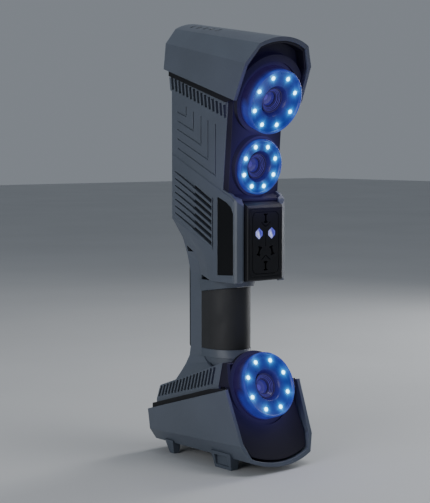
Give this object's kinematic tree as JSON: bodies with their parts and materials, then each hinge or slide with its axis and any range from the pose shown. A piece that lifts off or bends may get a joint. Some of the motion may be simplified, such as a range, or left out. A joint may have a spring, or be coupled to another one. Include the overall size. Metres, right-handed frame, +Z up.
{
  "type": "handheld 3d scanner",
  "caption": "Slate-grey handheld 3D scanner with hooded ends, ring-lit cameras, a laser projector module and a rubber grip, standing on its lower hood.",
  "frame": {"origin": "centre of the bounding box footprint, on the floor under the feet", "axes": "+Z up along the handle, -Y forward where the cameras look, +X to the right seen from the front"},
  "size_m": [0.0746, 0.1198, 0.33],
  "materials": {
    "slate_shell": "fine satin moulding",
    "grey_trim": "satin moulding",
    "black_plastic": "fine matte moulding",
    "dark_housing": "satin moulding",
    "panel_gloss": "satin gloss inlay",
    "grip_rubber": "soft-touch matte",
    "button_rubber": "soft-touch matte",
    "blue_light_cover": "translucent, lit from behind",
    "led_light": "lit dome",
    "laser_lens": "lit, bevelled",
    "smoked_glass": "polished",
    "lens_glass": "coated",
    "lens_black": "black anodised",
    "circuit_board": "solder mask",
    "aluminium": "bead blasted",
    "steel": "satin",
    "brass": "plated",
    "fan_plastic": "moulded",
    "wire_sleeve": "braided sleeve"
  },
  "bodies": {
    "housing": {"button_board": "circuit_board", "cable_socket": "steel", "camera_chassis": "aluminium", "case_screws": "steel", "fan_frame": "fan_plastic", "front_feet": "grey_trim", "grip_bottom_collar": "grey_trim", "grip_sleeve": "grip_rubber", "grip_top_collar": "grey_trim", "handle_harness": "wire_sleeve", "heat_sink": "aluminium", "laser_bracket": "aluminium", "laser_emitters": "brass", "left_label_panel": "panel_gloss", "left_shell": "slate_shell", "lower_camera_barrel": "dark_housing", "lower_camera_body": "aluminium", "lower_fascia": "dark_housing", "lower_front_housing": "dark_housing", "lower_hood": "slate_shell", "lower_led_board": "circuit_board", "lower_leds": "led_light", "lower_lens_barrel": "lens_black", "lower_lens_glass": "lens_glass", "lower_light_cover": "blue_light_cover", "lower_liner": "black_plastic", "main_board": "circuit_board", "middle_camera_barrel": "dark_housing", "middle_camera_body": "aluminium", "middle_led_board": "circuit_board", "middle_leds": "led_light", "middle_lens_barrel": "lens_black", "middle_lens_glass": "lens_glass", "middle_light_cover": "blue_light_cover", "power_board": "circuit_board", "projector_face": "black_plastic", "projector_housing": "black_plastic", "projector_lenses": "laser_lens", "projector_windows": "smoked_glass", "rear_feet": "grey_trim", "rear_panel": "black_plastic", "right_label_panel": "panel_gloss", "right_shell": "slate_shell", "socket_pins": "brass", "top_camera_barrel": "dark_housing", "top_camera_body": "aluminium", "top_hood": "slate_shell", "top_led_board": "circuit_board", "top_leds": "led_light", "top_lens_barrel": "lens_black", "top_lens_glass": "lens_glass", "top_light_cover": "blue_light_cover", "top_liner": "black_plastic", "upper_baffle": "black_plastic", "upper_front_housing": "dark_housing"},
    "zoom_in_button_cap": {"zoom_in_button": "button_rubber"},
    "scan_button_cap": {"scan_button": "button_rubber"},
    "zoom_out_button_cap": {"zoom_out_button": "button_rubber"},
    "mode_button_cap": {"mode_button": "button_rubber"},
    "fan_wheel": {"fan_rotor": "fan_plastic"}
  },
  "joints": [
    {"name": "zoom_in_press", "type": "slide", "parent": "housing", "child": "zoom_in_button_cap", "axis": [0, -1, 0], "range_m": [0, 0.0008], "stiffness_N_per_m": 900},
    {"name": "scan_press", "type": "slide", "parent": "housing", "child": "scan_button_cap", "axis": [0, -1, 0], "range_m": [0, 0.0008], "stiffness_N_per_m": 900},
    {"name": "zoom_out_press", "type": "slide", "parent": "housing", "child": "zoom_out_button_cap", "axis": [0, -1, 0], "range_m": [0, 0.0008], "stiffness_N_per_m": 900},
    {"name": "mode_press", "type": "slide", "parent": "housing", "child": "mode_button_cap", "axis": [0, -1, 0], "range_m": [0, 0.0008], "stiffness_N_per_m": 900},
    {"name": "fan_spin", "type": "hinge", "parent": "housing", "child": "fan_wheel", "pos_m": [0, 0.03359, 0.213], "axis": [0, 1, 0], "continuous": true}
  ]
}
